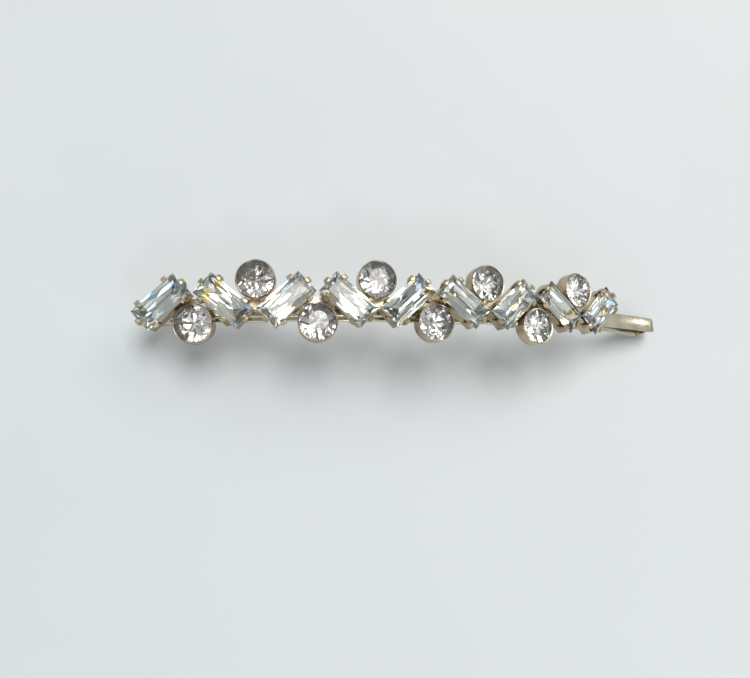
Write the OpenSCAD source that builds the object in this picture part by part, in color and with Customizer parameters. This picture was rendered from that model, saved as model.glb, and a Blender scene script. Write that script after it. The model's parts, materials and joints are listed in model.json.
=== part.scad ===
// Rhinestone hair clip: a sprung hairpin grip with a zigzag row of rectangular stones in claw
// cups and round stones in plain cups, all carried by a thin bar on the pin's upper leg.
// Millimetres. +X runs along the pin to its closed bend, +Z is up, and the clip stands on
// the bend and on the tip of its lower leg.

/* [Pin] */
// Width of the flat spring wire
strip_w = 2; // [1.8:0.1:2]
// Thickness of the flat spring wire
strip_t = 0.5; // [0.4:0.05:0.6]
// Radius of the arch, at the middle of the upper leg's thickness
arch_r = 88; // [85:1:100]
// Arc from the top of the arch to the middle of the closed bend
bend_s = 35.8; // [35:0.1:37]
// Distance between the two legs' middle lines at the closed bend
eye_h = 2.4; // [2.2:0.1:2.8]
// How far the pin sits to the front of the row of stones
pin_back = 0.5; // [0.3:0.1:0.7]
// How far the lower leg sits in front of the upper leg
leg_shift = 0.45; // [0.2:0.05:0.6]

/* [Lower leg] */
// Air between the legs where they lie closest
leg_gap = 0.2; // [0.15:0.05:0.3]
// Depth of each wave that grips the hair
wave_depth = 0.7; // [0.4:0.05:0.8]
// Length of each wave
wave_len = 6.5; // [6:0.1:7]
// Number of waves
waves = 5; // [3:1:5]
// Length of the tip that turns away from the upper leg
flip_len = 5; // [4:0.5:6]

/* [Backing bar] */
// Width of the bar that carries the cups
bar_w = 1.3; // [1.1:0.1:1.4]
// Thickness of the bar
bar_t = 0.35; // [0.3:0.05:0.4]
// Width of the arm under each round cup
arm_w = 0.9; // [0.7:0.1:1]
// Thickness of the solder under each cup
solder_t = 0.1; // [0.08:0.01:0.12]

/* [Row of stones] */
// Arc from one rectangular stone to the next
pitch = 6.6; // [6.6:0.05:6.8]
// Arc from the top of the arch to the middle stone, negative towards the open end
row_s = -5.9; // [-6.2:0.1:-5.6]
// Angle of the rectangular stones to the pin
lean = 41.5; // [41:0.5:42]
// Distance of the round stones from the middle of the row
row_half = 2.4; // [2.4:0.05:2.5]

/* [Rectangular stones] */
// Length
rect_l = 6.15; // [6:0.05:6.15]
// Width
rect_w = 3; // [2.8:0.1:3]
// Depth of the pavilion, below the girdle
rect_pav = 1.4; // [1.3:0.05:1.5]
// Height of the lower edge of the girdle above the upper leg's middle
rect_h = 2.75; // [2.7:0.05:2.9]

/* [Round stones] */
// Diameter over the girdle
round_d = 4.2; // [4.1:0.05:4.2]
// Depth of the pavilion, below the middle of the girdle
round_pav = 1.35; // [1.2:0.05:1.35]

/* [Hidden] */
$fn = 96;
n_rect = 9;
n_round = 8;
deg = 180 / (PI * arch_r);       // degrees of arch per millimetre of arc
leg_top = strip_t / 2;
cup_h = leg_top + bar_t + solder_t;  // underside of every cup
tip_s = -bend_s + 0.4;           // arc at the end of the lower leg
upper_tip_s = tip_s + 1.2;       // arc at the end of the upper leg
near_d = strip_t + leg_gap;      // depth of the lower leg's middle where it lies closest
taper_len = 11;                  // arc over which the eye closes
straight_s = bend_s - taper_len; // arc where the waves start
step_s = 0.5;                    // arc between the points of the lower leg's outline
roll = atan2(leg_shift, eye_h);  // the closed bend leans with the shift of the lower leg
bend_r = norm([leg_shift, eye_h]) / 2;
bend_low = eye_h / 2 + leg_top + (strip_w - strip_t) / 2 * sin(roll);  // from its centre down
lift = arch_r + bend_low - (arch_r - eye_h / 2) * cos(bend_s * deg);  // top of the arch above the floor
tip_depth = arch_r - leg_top - (arch_r - lift) / cos(tip_s * deg);  // puts the tip on the floor too
centre_x = 0.08;                 // middle of the clip's length, from the top of the arch
centre_y = 0;                    // middle of the clip's width, from the middle of the row
bar_open_end = 1.3;              // bar beyond the first rectangular stone's middle
bar_bend_end = 3.5;              // bar beyond the last one's middle
arm_in = 0.1;                    // where an arm starts, from the middle of the bar
arm_out = 3.2;                   // where it ends
pad_l = 1.5;                     // solder under a claw cup, along the bar
pad_mid = 2.1;                   // middle of the solder under a round cup, from the middle of the bar
pad_w = 1.8;                     // and its length, along the arm
pad_edge = 0.1;                  // how far the solder stops short of the bar's edge
wall = 0.22;                     // wall and base of the claw cups
cup_wall = 0.09;                 // wall of the round cups
inset = 0.15;                    // how far a claw cup's wall stands in from its stone
seat = 0.58;                     // how far below the girdle that wall ends
girdle = 0.2;                    // height of a rectangular stone's girdle
half_girdle = 0.06;              // half the height of a round stone's girdle
round_base = 0.3;                // base of the round cups
round_h = cup_h + round_base + round_pav + 0.05;  // middle of a round stone's girdle
claw_w = 0.6;
claw_in = 1.15;                  // distance of the long sides' claws from the stone's corners

// Arc position of each stone, counted from the open end
function rect_s(i) = row_s + (i - (n_rect - 1) / 2) * pitch;
function round_s(i) = row_s + (i - (n_round - 1) / 2) * pitch;
// Round stones alternate between the front and the back of the row
function side(i) = i % 2 == 0 ? -1 : 1;
function round_y(i) = side(i) * row_half;

// Moves from the arch's own frame to the part's frame
module place() translate([-centre_x, -centre_y, lift]) children();

// Puts its children on the arch: X along the leg, Z away from it
module on_arch(s, y = 0, h = 0)
    translate([0, 0, -arch_r]) rotate([0, s * deg, 0]) translate([0, y, arch_r + h]) children();

// A band of the arch between two arcs, from its section in radius and width
module arch_band(s0, s1)
    translate([0, 0, -arch_r]) rotate([90, 0, 0]) rotate([0, 0, 90 - s1 * deg])
        rotate_extrude(angle = (s1 - s0) * deg, $fn = 360) children();

// Section of the flat wire with its rolled round edges, about radius r
module strip_section(r) translate([r, 0]) {
    square([strip_t, strip_w - strip_t], center = true);
    for (e = [-1, 1]) translate([0, e * (strip_w - strip_t) / 2]) circle(d = strip_t, $fn = 24);
}

module upper_leg() color("khaki") translate([0, -pin_back, 0])
    arch_band(upper_tip_s, bend_s) strip_section(arch_r);

// The closed bend that is the clip's spring
module bend() color("khaki") on_arch(bend_s, -pin_back - leg_shift / 2, -eye_h / 2)
    rotate([90 - roll, 0, 0]) rotate([0, 0, -90])
        rotate_extrude(angle = 180) strip_section(bend_r);

// Smooth step from 0 to 1
function ease(t) = let (u = min(1, max(0, t))) u * u * (3 - 2 * u);
// Depth of the lower leg's middle below the upper leg's middle, at arc s
function wave(s) = let (t = (straight_s - s) / wave_len)
    t > 0 && t < waves ? wave_depth * (1 - cos(360 * t)) / 2 : 0;
function eye(s) = (eye_h - near_d) * ease((s - straight_s) / taper_len);
function flip(s) = (tip_depth - near_d) * pow(max(0, (tip_s + flip_len - s) / flip_len), 2);
function depth(s) = near_d + wave(s) + eye(s) + flip(s);
function leg_point(s) = [(arch_r - depth(s)) * sin(s * deg), (arch_r - depth(s)) * cos(s * deg) - arch_r];
// Unit normal of that line, away from the upper leg
function leg_normal(s) = let (a = leg_point(s - 0.01), b = leg_point(s + 0.01), d = b - a)
    [d[1], -d[0]] / norm(d);
function leg_edge(s, side) = leg_point(s) + side * strip_t / 2 * leg_normal(s);

module lower_leg() color("khaki") {
    n = ceil((bend_s - tip_s) / step_s);
    line = [for (k = [0:n]) tip_s + (bend_s - tip_s) * k / n];
    outline = concat([for (s = line) leg_edge(s, 1)],
                     [for (k = [0:n]) leg_edge(line[n - k], -1)]);
    translate([0, strip_w / 2 - pin_back - leg_shift, 0]) rotate([90, 0, 0])
        linear_extrude(strip_w) polygon(outline);
}

// Thin stamped bar along the leg, with an arm out to each round cup
module backing_bar() color("darkkhaki") {
    arch_band(rect_s(0) - bar_open_end, rect_s(n_rect - 1) + bar_bend_end)
        translate([arch_r + leg_top, -bar_w / 2]) square([bar_t, bar_w]);
    for (i = [0:n_round - 1]) on_arch(round_s(i), 0, leg_top + bar_t / 2)
        translate([0, side(i) * (arm_in + arm_out) / 2, 0])
            cube([arm_w, arm_out - arm_in, bar_t], center = true);
}

// One flat of solder under every cup
module solder_joints() color("silver") {
    for (i = [0:n_rect - 1]) on_arch(rect_s(i), 0, leg_top + bar_t + solder_t / 2)
        cube([pad_l, bar_w - 2 * pad_edge, solder_t], center = true);
    for (i = [0:n_round - 1]) on_arch(round_s(i), side(i) * pad_mid, leg_top + bar_t + solder_t / 2)
        cube([arm_w - pad_edge, pad_w, solder_t], center = true);
}

// Side view of a claw: X out from the stone's edge, Y up from its girdle's lower edge
claw_outline = [[-0.22, -1.3], [0.03, -0.25], [0.03, 0.24], [-0.24, 0.54], [-0.15, 0.68],
                [0.12, 0.62], [0.34, 0.4], [0.4, 0.1], [0.3, -0.35], [-0.04, -1.3]];

// One claw at the edge of a stone that faces +X
module claw() rotate([90, 0, 0]) translate([0, 0, -claw_w / 2])
    linear_extrude(claw_w) polygon(claw_outline);

module rect_frame(i) on_arch(rect_s(i)) rotate([0, 0, -side(i) * lean]) children();

module claw_cup(i) color("wheat") rect_frame(i) {
    top = rect_h - seat;
    size = [rect_l - 2 * inset, rect_w - 2 * inset];
    difference() {
        translate([-size[0] / 2, -size[1] / 2, cup_h]) cube([size[0], size[1], top - cup_h]);
        translate([wall - size[0] / 2, wall - size[1] / 2, cup_h + wall])
            cube([size[0] - 2 * wall, size[1] - 2 * wall, top]);
    }
    for (e = [0, 180]) rotate([0, 0, e]) {
        translate([rect_l / 2, 0, rect_h]) claw();
        for (x = [-1, 1]) translate([x * (rect_l / 2 - claw_in), rect_w / 2, rect_h])
            rotate([0, 0, 90]) claw();
    }
}

// The corners of a rectangle of the given half sizes
function corners(a, b, z) = [[a, b, z], [-a, b, z], [-a, -b, z], [a, -b, z]];
// The quads between two rings of n points, the first ring starting at point p and the next at q
function belt(n, p, q) = [for (k = [0:n - 1]) [p + k, p + (k + 1) % n, q + (k + 1) % n, q + k]];

// Rectangular stone: stepped crown over a pavilion of crossing facets that ends in a keel
module baguette(i) color("lightcyan", 0.6) rect_frame(i) translate([0, 0, rect_h]) {
    a = rect_l / 2;
    b = rect_w / 2;
    points = concat(corners(a, b, 0), corners(a, b, girdle),
        corners(a - 0.28, b - 0.28, girdle + 0.28), corners(a - 0.75, b - 0.68, girdle + 0.46),
        [[0, 0.56 * b, -0.6 * rect_pav], [-0.74 * a, 0, -0.68 * rect_pav],
         [0, -0.56 * b, -0.6 * rect_pav], [0.74 * a, 0, -0.68 * rect_pav],
         [-0.42 * a, 0, -rect_pav], [0.42 * a, 0, -rect_pav]]);
    faces = concat([[12, 15, 14, 13]],
        [for (r = [0:2]) for (q = belt(4, r * 4, r * 4 + 4)) [q[3], q[2], q[1], q[0]]],
        [[0, 1, 16], [1, 2, 17], [2, 3, 18], [3, 0, 19],
         [1, 20, 16], [20, 21, 16], [21, 0, 16], [1, 17, 20], [17, 2, 20],
         [2, 18, 20], [18, 21, 20], [18, 3, 21], [3, 19, 21], [19, 0, 21]]);
    polyhedron(points, faces);
}

module round_frame(i) on_arch(round_s(i), round_y(i), 0) children();

module round_cup(i) color("wheat") round_frame(i) translate([0, 0, cup_h]) {
    r = round_d / 2;
    g = round_h - cup_h;
    rotate_extrude() polygon([[0, 0], [r - 0.15, 0], [r + cup_wall + 0.02, 0.25],
        [r + cup_wall + 0.02, g + 0.06], [r + 0.03, g + 0.17], [r - 0.05, g + 0.13],
        [r + 0.02, g + half_girdle], [r + 0.02, g - half_girdle], [r - 0.27, g - 0.3],
        [r - 0.27, round_base], [0, round_base]]);
}

// n points of a ring of radius r at height z, turned by a
function ring(n, r, z, a = 0) =
    [for (k = [0:n - 1]) let (t = a + k * 360 / n) [r * cos(t), r * sin(t), z]];

// Round stone: eight-fold crown and pavilion, as on a brilliant
module round_stone(i) color("white", 0.6) round_frame(i) translate([0, 0, round_h]) {
    r = round_d / 2;
    // Where each ring starts: table, crown, girdle top, girdle bottom, pavilion, culet
    crown = 8;
    top = 16;
    bottom = 32;
    pav = 48;
    culet = 56;
    points = concat(ring(8, 0.56 * r, 0.62), ring(8, 0.79 * r, 0.4, 22.5),
        ring(16, r, half_girdle), ring(16, r, -half_girdle),
        ring(8, 0.44 * r, -0.7 * round_pav, 22.5), [[0, 0, -round_pav]]);
    faces = concat([[for (k = [0:7]) 7 - k]],
        [for (k = [0:7]) [k, (k + 1) % 8, crown + k]],
        [for (k = [0:7]) let (m = crown + (k + 7) % 8) each
            [[k, crown + k, top + 2 * k], [m, k, top + 2 * k]]],
        [for (k = [0:7]) each [[crown + k, top + 2 * k + 1, top + 2 * k],
            [crown + k, top + (2 * k + 2) % 16, top + 2 * k + 1]]],
        belt(16, top, bottom),
        [for (k = [0:7]) each [[pav + k, bottom + 2 * k, bottom + 2 * k + 1],
            [pav + k, bottom + 2 * k + 1, bottom + (2 * k + 2) % 16]]],
        [for (k = [0:7]) let (m = pav + (k + 7) % 8) each
            [[bottom + 2 * k, pav + k, culet], [m, bottom + 2 * k, culet]]]);
    polyhedron(points, faces);
}

place() {
    upper_leg();
    bend();
    lower_leg();
    backing_bar();
    solder_joints();
    for (i = [0:n_rect - 1]) {
        claw_cup(i);
        baguette(i);
    }
    for (i = [0:n_round - 1]) {
        round_cup(i);
        round_stone(i);
    }
}
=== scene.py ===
"""Looks for the rhinestone hair clip: foil-backed crystals in champagne gold cups on a sprung
hair grip. Metres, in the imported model's own frame."""
import json
import math

import bmesh
import bpy
from mathutils import Euler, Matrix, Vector


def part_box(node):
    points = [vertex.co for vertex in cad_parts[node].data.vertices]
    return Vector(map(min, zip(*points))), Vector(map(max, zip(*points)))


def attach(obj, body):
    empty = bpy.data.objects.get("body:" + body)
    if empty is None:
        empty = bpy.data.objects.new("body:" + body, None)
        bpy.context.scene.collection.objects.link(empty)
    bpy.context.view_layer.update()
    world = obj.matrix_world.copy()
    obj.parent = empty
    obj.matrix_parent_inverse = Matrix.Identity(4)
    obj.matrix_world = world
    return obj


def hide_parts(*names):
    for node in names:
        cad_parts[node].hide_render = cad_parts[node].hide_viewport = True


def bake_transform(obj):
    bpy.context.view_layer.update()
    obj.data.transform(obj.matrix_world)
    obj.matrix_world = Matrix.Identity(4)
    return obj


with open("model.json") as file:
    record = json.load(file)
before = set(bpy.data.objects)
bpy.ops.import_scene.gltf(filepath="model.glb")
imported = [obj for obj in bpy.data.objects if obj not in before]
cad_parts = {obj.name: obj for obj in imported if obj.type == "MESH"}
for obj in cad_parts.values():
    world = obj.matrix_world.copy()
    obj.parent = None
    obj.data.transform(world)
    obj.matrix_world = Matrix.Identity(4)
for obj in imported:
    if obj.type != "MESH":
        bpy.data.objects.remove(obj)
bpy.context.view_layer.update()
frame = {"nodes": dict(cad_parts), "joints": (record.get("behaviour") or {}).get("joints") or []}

MM = 0.001
RECTS = 9
ROUNDS = 8

# The clip's own sizes, as in the CAD model
ARCH_R = 88 * MM          # arch of the upper leg, at the middle of its thickness
STRIP_W = 2 * MM
STRIP_T = 0.5 * MM
EYE_H = 2.4 * MM          # between the legs' middle lines at the closed bend
BEND_S = 35.8 * MM        # arc from the top of the arch to the closed bend
TIP_S = 0.4 * MM - BEND_S # arc to the tip of the lower leg
UPPER_TIP_S = TIP_S + 1.2 * MM
NEAR_D = STRIP_T + 0.2 * MM
TAPER = 11 * MM           # arc over which the eye closes
WAVE_DEPTH = 0.7 * MM
WAVE_LEN = 6.5 * MM
WAVES = 5
FLIP_LEN = 5 * MM         # the tip that turns away from the upper leg
PITCH = 6.6 * MM
ROW_S = -5.9 * MM

upper_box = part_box("upper_leg")
lower_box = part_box("lower_leg")
UPPER_Y = (upper_box[0].y + upper_box[1].y) / 2
LOWER_Y = (lower_box[0].y + lower_box[1].y) / 2
hinge = Vector(frame["joints"][0]["pos_m"])
bend_angle = BEND_S / ARCH_R
# Top of the arch, under the middle of the row and at the middle of the upper leg's thickness
top_x = hinge.x - (ARCH_R - EYE_H / 2) * math.sin(bend_angle)
top = Vector((top_x, 0, upper_box[1].z - STRIP_T / 2))
arch_centre = top - Vector((0, 0, ARCH_R))


def leg_point(s, y, depth=0.0):
    """The point of a leg's middle line at arc s, depth below the upper leg's own middle."""
    a = s / ARCH_R
    out = Vector((math.sin(a), 0, math.cos(a)))
    return arch_centre + Vector((0, y, 0)) + (ARCH_R - depth) * out


def stone_axis(s):
    """The way out of the arch at arc s, which a stone there faces."""
    return Vector((math.sin(s / ARCH_R), 0, math.cos(s / ARCH_R)))


def rect_s(i):
    return ROW_S + (i - (RECTS - 1) / 2) * PITCH


def round_s(i):
    return ROW_S + (i - (ROUNDS - 1) / 2) * PITCH


# ---------------------------------------------------------------- camera

# It looks down from the open end and a little from the front
CAMERA_TURN = Euler([math.radians(a) for a in (7.9, -18.2, -1.6)])
CAMERA_AIM = top + Vector((-9.3, -4.1, 0)) * MM
CAMERA_DISTANCE = 79.6 * MM
LENS = 33.6


def add_camera():
    turn = CAMERA_TURN.to_matrix()
    data = bpy.data.cameras.new("camera")
    data.lens = LENS
    data.sensor_width = 36
    data.clip_start = 0.001
    data.clip_end = 10
    cam = bpy.data.objects.new("camera", data)
    cam.location = CAMERA_AIM + turn @ Vector((0, 0, CAMERA_DISTANCE))
    cam.rotation_euler = CAMERA_TURN
    bpy.context.scene.collection.objects.link(cam)
    bpy.context.scene.camera = cam


# ---------------------------------------------------------------- materials

def new_material(name):
    """An empty node material: (material, tree, principled shader)."""
    mat = bpy.data.materials.new(name)
    mat.use_nodes = True
    tree = mat.node_tree
    return mat, tree, tree.nodes["Principled BSDF"]


def stretched_noise(tree, scale, stretch=(1, 1, 1), detail=4.0):
    """Noise over the object's own coordinates, scale in bumps per metre."""
    coord = tree.nodes.new("ShaderNodeTexCoord")
    mapping = tree.nodes.new("ShaderNodeMapping")
    mapping.inputs["Scale"].default_value = stretch
    noise = tree.nodes.new("ShaderNodeTexNoise")
    noise.inputs["Scale"].default_value = scale
    noise.inputs["Detail"].default_value = detail
    tree.links.new(coord.outputs["Object"], mapping.inputs["Vector"])
    tree.links.new(mapping.outputs["Vector"], noise.inputs["Vector"])
    return noise.outputs["Fac"]


def ramp(tree, value, stops):
    """Colours over a value: stops is a list of (position, colour)."""
    node = tree.nodes.new("ShaderNodeValToRGB")
    while len(node.color_ramp.elements) < len(stops):
        node.color_ramp.elements.new(0.5)
    for element, (place, colour) in zip(node.color_ramp.elements, stops):
        element.position = place
        element.color = (*colour, 1)
    tree.links.new(value, node.inputs["Fac"])
    return node.outputs["Color"]


def spread(tree, value, low, high):
    """Maps the middle of a noise's range to low..high."""
    node = tree.nodes.new("ShaderNodeMapRange")
    node.inputs["From Min"].default_value = 0.3
    node.inputs["From Max"].default_value = 0.7
    node.inputs["To Min"].default_value = low
    node.inputs["To Max"].default_value = high
    tree.links.new(value, node.inputs["Value"])
    return node.outputs["Result"]


def bump(tree, shader, height, distance, strength=1.0):
    node = tree.nodes.new("ShaderNodeBump")
    node.inputs["Strength"].default_value = strength
    node.inputs["Distance"].default_value = distance
    tree.links.new(height, node.inputs["Height"])
    tree.links.new(node.outputs["Normal"], shader.inputs["Normal"])


def plated(name, pale, deep, rough, lines, line_scale=9000, depth=0.6e-6):
    """Thin gold plating: colour that deepens in patches, and drawing lines along one way."""
    mat, tree, shader = new_material(name)
    shader.inputs["Metallic"].default_value = 1.0
    patches = stretched_noise(tree, 450)
    tree.links.new(ramp(tree, patches, [(0.3, deep), (0.65, pale)]), shader.inputs["Base Color"])
    grain = stretched_noise(tree, line_scale, lines, 2.0)
    tree.links.new(spread(tree, stretched_noise(tree, 1500), *rough), shader.inputs["Roughness"])
    bump(tree, shader, grain, depth)
    return mat


def crystal_glass():
    """Clear lead glass. The finest uneven polish keeps its facets from being perfect mirrors."""
    mat, tree, shader = new_material("crystal")
    shader.inputs["Base Color"].default_value = (0.985, 1.0, 0.99, 1)
    shader.inputs["Transmission Weight"].default_value = 1.0
    shader.inputs["IOR"].default_value = 1.56
    shader.inputs["Roughness"].default_value = 0.0
    bump(tree, shader, stretched_noise(tree, 900, detail=1.0), 3e-6, 0.1)
    return mat


def silver_foil(name, rough, tones_and_painted_flashes):
    """Foil under the pavilion. Its lacquer scatters a little light. Its colour varies in patches
    over the stops given, which on the baguettes hold painted reflections: blue and yellow flashes
    in place of the fire of light split by the glass.
    """
    mat, tree, shader = new_material(name)
    shader.inputs["Metallic"].default_value = 0.9
    shader.inputs["Roughness"].default_value = rough
    tone = ramp(tree, stretched_noise(tree, 700, detail=1.0), tones_and_painted_flashes)
    tree.links.new(tone, shader.inputs["Base Color"])
    return mat


def soft_solder():
    mat, tree, shader = new_material("solder")
    shader.inputs["Metallic"].default_value = 0.9
    tone = ramp(tree, stretched_noise(tree, 3000),
                [(0.3, (0.42, 0.38, 0.31)), (0.7, (0.68, 0.63, 0.53))])
    tree.links.new(tone, shader.inputs["Base Color"])
    tree.links.new(spread(tree, stretched_noise(tree, 2500), 0.3, 0.55), shader.inputs["Roughness"])
    bump(tree, shader, stretched_noise(tree, 4000), 20e-6)
    return mat


def pale_floor():
    mat, tree, shader = new_material("floor")
    tone = ramp(tree, stretched_noise(tree, 30),
                [(0.3, (0.725, 0.77, 0.79)), (0.7, (0.745, 0.79, 0.81))])
    tree.links.new(tone, shader.inputs["Base Color"])
    shader.inputs["Roughness"].default_value = 0.6
    return mat


PIN = plated("pin_gold", (0.52, 0.48, 0.36), (0.38, 0.35, 0.25), (0.13, 0.26), (0.12, 1, 1))
CUP = plated("cup_gold", (0.54, 0.46, 0.32), (0.26, 0.20, 0.12), (0.16, 0.3), (1, 1, 0.3))
# The bar's gold is paler than the pin's: painted light, standing in for the light that the stones
# shade from it.
BAR = plated("bar_gold_painted_light", (0.86, 0.78, 0.61), (0.68, 0.60, 0.44), (0.22, 0.36), (0.15, 1, 1))
GLASS = crystal_glass()
# Painted reflections: blue and yellow flashes at the ends of the noise's range, in place of the
# fire of light split by the glass; pale green between them
RECT_FOIL_PAINTED_FLASHES = silver_foil("rect_foil_painted_flashes", 0.09,
                        [(0.27, (0.50, 0.70, 0.95)), (0.34, (0.75, 0.77, 0.79)),
                         (0.5, (0.75, 0.79, 0.75)), (0.64, (0.79, 0.78, 0.73)),
                         (0.71, (0.98, 0.80, 0.34))])
# Round stones: a paler foil, and a darker copy on every second facet. The darker copy is painted
# shade, standing in for the dark reflections in a brilliant's facets.
ROUND_FOIL = silver_foil("round_foil", 0.06,
                         [(0.35, (0.84, 0.83, 0.84)), (0.65, (0.88, 0.86, 0.83))])
ROUND_FOIL_PAINTED_SHADE = silver_foil("round_foil_painted_shade", 0.06,
                         [(0.35, (0.58, 0.56, 0.56)), (0.65, (0.66, 0.63, 0.61))])
SOLDER = soft_solder()


# ---------------------------------------------------------------- pieces

def dress(obj, material):
    """Gives an object one material in place of all it had."""
    obj.data.materials.clear()
    obj.data.materials.append(material)


def new_piece(name, mesh, material):
    obj = bpy.data.objects.new(name, mesh)
    bpy.context.scene.collection.objects.link(obj)
    dress(obj, material)
    return obj


CUP_EDGE = 0.06 * MM
BAR_EDGE = 0.05 * MM
WELD_GAP = 1e-6
SHARP = math.radians(25)


def soften(obj, width):
    """Rounds the sharp edges of a CAD node by modifiers, so that they catch the light."""
    weld = obj.modifiers.new("weld", "WELD")
    weld.merge_threshold = WELD_GAP
    edge = obj.modifiers.new("edges", "BEVEL")
    edge.width = width
    edge.segments = 3
    edge.limit_method = "ANGLE"
    edge.angle_limit = SHARP
    edge.use_clamp_overlap = True
    obj.modifiers.new("normals", "WEIGHTED_NORMAL").keep_sharp = False


EDGE_STEPS = 8           # points round each rolled edge of the wire
TIP_STEPS = 8            # rings over a rounded tip
TIP_NARROWEST = 0.12     # width factor at the very end of a tip
RING_STEP = 0.4 * MM     # arc between the rings along a leg
BEND_STEPS = 32
BEND_NARROWING = 0.5     # how much narrower the wire is at the middle of the bend
ACROSS = Vector((0, 1, 0))


def wire_section(width):
    """Outline of the flat wire, across and outwards, with round edges."""
    half = width / 2 - STRIP_T / 2
    outline = []
    for sign in (1, -1):
        for k in range(EDGE_STEPS + 1):
            a = math.pi * (k / EDGE_STEPS - 0.5)
            outline.append((sign * (half + STRIP_T / 2 * math.cos(a)),
                            sign * STRIP_T / 2 * math.sin(a)))
    return outline


def sweep_wire(name, path):
    """A flat wire along path, a list of (point, outward normal, way across, width factor)."""
    mesh = bpy.data.meshes.new(name)
    bm = bmesh.new()
    rings = []
    for point, normal, across, factor in path:
        ring = []
        # The wire thins less than it narrows
        thinning = min(1, 0.3 + factor)
        for y, out in wire_section(STRIP_W):
            ring.append(bm.verts.new(point + across * y * factor + normal * out * thinning))
        rings.append(ring)
    count = len(rings[0])
    for a, b in zip(rings, rings[1:]):
        for k in range(count):
            bm.faces.new((a[k], a[(k + 1) % count], b[(k + 1) % count], b[k]))
    bm.faces.new(rings[0][::-1])
    bm.faces.new(rings[-1])
    bmesh.ops.recalc_face_normals(bm, faces=bm.faces)
    for face in bm.faces:
        face.smooth = len(face.verts) == 4
    bm.to_mesh(mesh)
    bm.free()
    return mesh


def tip_factor(distance):
    """Width factor of a wire's rounded tip, at a distance from its very end."""
    t = min(1, distance / (STRIP_W / 2))
    return max(TIP_NARROWEST, math.sqrt(1 - (1 - t) ** 2))


def ease(t):
    """Smooth step from 0 to 1."""
    t = min(1, max(0, t))
    return t * t * (3 - 2 * t)


# Depth that puts the lower leg's tip on the floor
tip_angle = TIP_S / ARCH_R
TIP_DEPTH = ARCH_R - STRIP_T / 2 - (ARCH_R - top.z) / math.cos(tip_angle)


def leg_depth(s):
    """Depth of the lower leg's middle line below the upper leg's, at arc s."""
    straight = BEND_S - TAPER
    t = (straight - s) / WAVE_LEN
    wave = WAVE_DEPTH * (1 - math.cos(2 * math.pi * t)) / 2 if 0 < t < WAVES else 0
    eye = (EYE_H - NEAR_D) * ease((s - straight) / TAPER)
    flip = (TIP_DEPTH - NEAR_D) * max(0, (TIP_S + FLIP_LEN - s) / FLIP_LEN) ** 2
    return NEAR_D + wave + eye + flip


def steps(a, b, size):
    """Even steps from a to b, no longer than size."""
    n = max(2, math.ceil(abs(b - a) / size))
    return [a + (b - a) * k / n for k in range(n + 1)]


def tip_steps(a, b):
    """Steps from the tip at a to b, close together over the rounded tip."""
    turns = [math.pi / 2 * k / TIP_STEPS for k in range(TIP_STEPS)]
    fine = [a + STRIP_W / 2 * (1 - math.cos(t)) for t in turns]
    return fine + steps(a + STRIP_W / 2, b, RING_STEP)


def add_pin():
    """The flat spring wire: the two legs and the bend between them."""
    upper = []
    for s in tip_steps(UPPER_TIP_S, BEND_S):
        upper.append((leg_point(s, UPPER_Y), stone_axis(s), ACROSS, tip_factor(s - UPPER_TIP_S)))
    piece = new_piece("upper_wire", sweep_wire("upper_wire", upper), PIN)
    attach(piece, "clip")
    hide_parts("upper_leg")

    out = stone_axis(BEND_S)
    along = Vector((math.cos(bend_angle), 0, -math.sin(bend_angle)))
    to_upper = out * EYE_H / 2 + ACROSS * (UPPER_Y - LOWER_Y) / 2
    roll = math.atan2(UPPER_Y - LOWER_Y, EYE_H)
    ring = []
    for k in range(BEND_STEPS + 1):
        a = math.pi * k / BEND_STEPS
        # The wire lies flat on the legs at both ends and leans with the bend between them
        lean = roll * math.sin(a)
        to_top = out * math.cos(lean) + ACROSS * math.sin(lean)
        normal = to_top * math.cos(a) + along * math.sin(a)
        across = ACROSS * math.cos(lean) - out * math.sin(lean)
        point = hinge + to_upper * math.cos(a) + along * to_upper.length * math.sin(a)
        ring.append((point, normal, across, 1 - BEND_NARROWING * math.sin(a) ** 2))
    piece = new_piece("bend_wire", sweep_wire("bend_wire", ring), PIN)
    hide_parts("bend")
    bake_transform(piece)

    lower = []
    tiny = 0.01 * MM
    for s in tip_steps(TIP_S, BEND_S):
        a, b = (leg_point(t, LOWER_Y, leg_depth(t)) for t in (s - tiny, s + tiny))
        way = (b - a).normalized()
        normal = Vector((way.z, 0, -way.x))
        point = leg_point(s, LOWER_Y, leg_depth(s))
        lower.append((point, normal, ACROSS, tip_factor(s - TIP_S)))
    piece = new_piece("lower_wire", sweep_wire("lower_wire", lower), PIN)
    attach(piece, "lower_leg")
    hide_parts("lower_leg")


FOIL_GAP = 0.012 * MM     # how far the foil is moved up into the glass
FOIL_T = 0.02 * MM
CROWN_DOT = -0.08        # faces that look further up than this are not the pavilion's
ROUND_R = 2.1 * MM
SECTOR = math.tau / 16
INNER_RING = 0.65        # share of the radius inside which the inner facets' middles lie


def painted_shade_facet(face, centre, axis):
    """1 for every second facet round a round stone's axis, in the outer ring and in the inner: the
    facets that get the darker foil, which is painted shade.
    """
    across = Vector((axis.z, 0, -axis.x))
    way = face.calc_center_median() - centre
    outer = math.hypot(way.y, way.dot(across)) > INNER_RING * ROUND_R
    return (math.floor(math.atan2(way.y, way.dot(across)) / SECTOR) + outer) % 2


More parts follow.
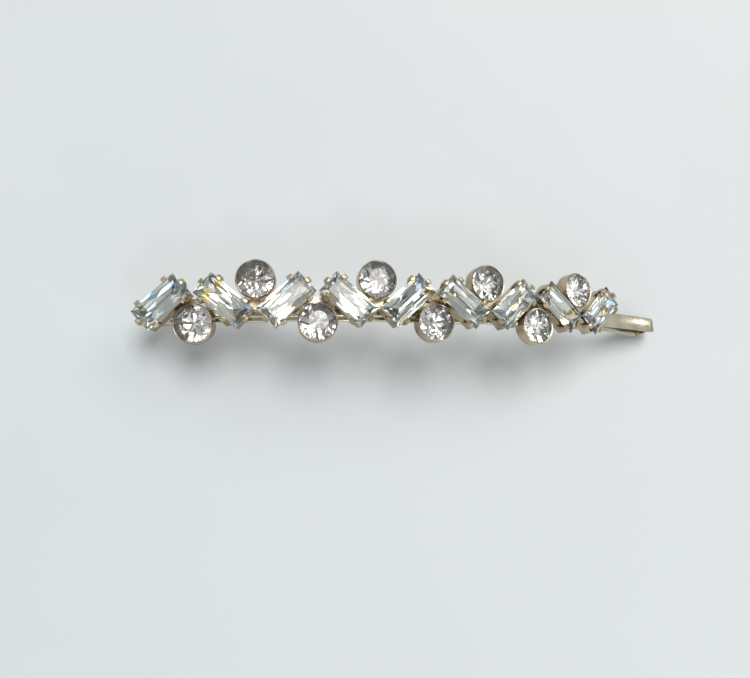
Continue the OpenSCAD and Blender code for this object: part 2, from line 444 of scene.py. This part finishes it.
def add_foil(node, s, foil, deep=None):
    """The foil under a stone: its pavilion's facets, just inside the glass. With deep given, the
    facets alternate between foil and deep, a darker copy of the foil that is painted shade in place
    of the dark reflections in a brilliant's facets."""
    axis = stone_axis(s)
    bm = bmesh.new()
    bm.from_mesh(nodes[node].data)
    bmesh.ops.remove_doubles(bm, verts=bm.verts, dist=1e-7)
    bmesh.ops.recalc_face_normals(bm, faces=bm.faces)
    centre = sum((v.co for v in bm.verts), Vector()) / len(bm.verts)
    crown = [f for f in bm.faces if f.normal.dot(axis) > CROWN_DOT]
    bmesh.ops.delete(bm, geom=crown, context="FACES")
    bmesh.ops.dissolve_limit(bm, angle_limit=0.01, verts=bm.verts, edges=bm.edges)
    mesh = bpy.data.meshes.new("foil_" + node)
    if deep:
        for face in bm.faces:
            # Every second facet takes the darker foil: painted shade.
            face.material_index = painted_shade_facet(face, centre, axis)
    bm.to_mesh(mesh)
    bm.free()
    piece = new_piece("foil_" + node, mesh, foil)
    if deep:
        mesh.materials.append(deep)
    shell = piece.modifiers.new("foil", "SOLIDIFY")
    shell.thickness = FOIL_T
    shell.offset = -1
    shell.use_even_offset = True
    piece.location = axis * FOIL_GAP
    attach(piece, "clip")


def dress_nodes():
    """Materials and foil for every CAD node that shows itself."""
    for i in range(1, RECTS + 1):
        dress(nodes[f"claw_cup_{i}"], CUP)
        soften(nodes[f"claw_cup_{i}"], CUP_EDGE)
        dress(nodes[f"baguette_{i}"], GLASS)
        add_foil(f"baguette_{i}", rect_s(i - 1), RECT_FOIL_PAINTED_FLASHES)
    for i in range(1, ROUNDS + 1):
        dress(nodes[f"round_cup_{i}"], CUP)
        dress(nodes[f"round_stone_{i}"], GLASS)
        add_foil(f"round_stone_{i}", round_s(i - 1), ROUND_FOIL, ROUND_FOIL_PAINTED_SHADE)
    # The bar's paler gold is painted light.
    dress(nodes["backing_bar"], BAR)
    soften(nodes["backing_bar"], BAR_EDGE)
    dress(nodes["solder_joints"], SOLDER)


# ---------------------------------------------------------------- stage and light

FLOOR_HALF = 1.5


def add_stage():
    mesh = bpy.data.meshes.new("floor")
    corners = [(x * FLOOR_HALF, y * FLOOR_HALF, 0) for x, y in ((-1, -1), (1, -1), (1, 1), (-1, 1))]
    mesh.from_pydata(corners, [], [(0, 1, 2, 3)])
    floor = bpy.data.objects.new("floor", mesh)
    bpy.context.scene.collection.objects.link(floor)
    dress(floor, pale_floor())


LIGHT_AIM = Vector((0, 0, 8)) * MM


def softbox(name, at, size, power, colour=(1, 1, 1)):
    """An area light at a place in millimetres that faces the clip."""
    data = bpy.data.lights.new(name, "AREA")
    data.shape = "RECTANGLE"
    data.size = size[0] * MM
    data.size_y = size[1] * MM
    data.energy = power
    data.color = colour
    light = bpy.data.objects.new(name, data)
    light.location = Vector(at) * MM
    facing = LIGHT_AIM - light.location
    light.rotation_euler = facing.to_track_quat("-Z", "Y").to_euler()
    bpy.context.scene.collection.objects.link(light)


ROOM_ON_FLOOR = 0.28     # share of the room's light that diffuse rays get


def add_world():
    """Pale room: brightest a little above the horizon all round, and dimmer overhead."""
    world = bpy.data.worlds.new("room")
    bpy.context.scene.world = world
    world.use_nodes = True
    tree = world.node_tree
    coord = tree.nodes.new("ShaderNodeTexCoord")
    split = tree.nodes.new("ShaderNodeSeparateXYZ")
    tree.links.new(coord.outputs["Generated"], split.inputs["Vector"])
    tone = ramp(tree, split.outputs["Z"],
                [(0.0, (0.62, 0.63, 0.64)), (0.15, (0.84, 0.85, 0.85)),
                 (0.45, (0.82, 0.83, 0.835)), (0.7, (0.52, 0.525, 0.53)),
                 (0.92, (0.37, 0.372, 0.375)), (1.0, (0.35, 0.352, 0.355))])
    background = tree.nodes["Background"]
    tree.links.new(tone, background.inputs["Color"])
    # The metal and the stones mirror the whole room, and the floor takes less light from it
    path = tree.nodes.new("ShaderNodeLightPath")
    strength = tree.nodes.new("ShaderNodeMapRange")
    strength.inputs["To Min"].default_value = 1.0
    strength.inputs["To Max"].default_value = ROOM_ON_FLOOR
    tree.links.new(path.outputs["Is Diffuse Ray"], strength.inputs["Value"])
    tree.links.new(strength.outputs["Result"], background.inputs["Strength"])


KEY_WAY = Vector((0.07, -0.37, -0.93))  # the way its light travels
KEY_STRENGTH = 1.78
KEY_SPREAD = math.radians(34)


def add_key():
    """A broad light from above and behind, the same over the whole floor."""
    data = bpy.data.lights.new("key", "SUN")
    data.energy = KEY_STRENGTH
    data.angle = KEY_SPREAD
    data.color = (1.0, 0.99, 0.97)
    light = bpy.data.objects.new("key", data)
    light.rotation_euler = KEY_WAY.to_track_quat("-Z", "Y").to_euler()
    bpy.context.scene.collection.objects.link(light)


def add_lights():
    """The key, soft fills, and small bright boxes that the bend and the stones mirror."""
    add_key()
    softbox("fill_left", (-190, -40, 110), (60, 140), 0.02, (0.95, 0.98, 1.0))
    softbox("fill_right", (150, -110, 130), (60, 140), 0.05, (1.0, 0.98, 0.95))
    softbox("back", (80, 130, 150), (120, 80), 0.085, (1.0, 0.98, 0.95))
    softbox("glint", (195, 26, 27), (10, 10), 0.004, (1.0, 0.98, 0.90))
    softbox("front", (60, -380, 120), (360, 100), 0.2, (1.0, 0.98, 0.96))
    softbox("spark_warm", (90, 60, 160), (14, 14), 0.006, (1.0, 0.66, 0.25))
    softbox("spark_blue", (-110, 40, 140), (14, 14), 0.006, (0.4, 0.65, 1.0))
    softbox("spark_white", (-10, -120, 150), (24, 24), 0.02)


nodes = frame["nodes"]
add_camera()
add_pin()
dress_nodes()
add_stage()
add_world()
add_lights()
bpy.context.scene.view_settings.view_transform = "Standard"
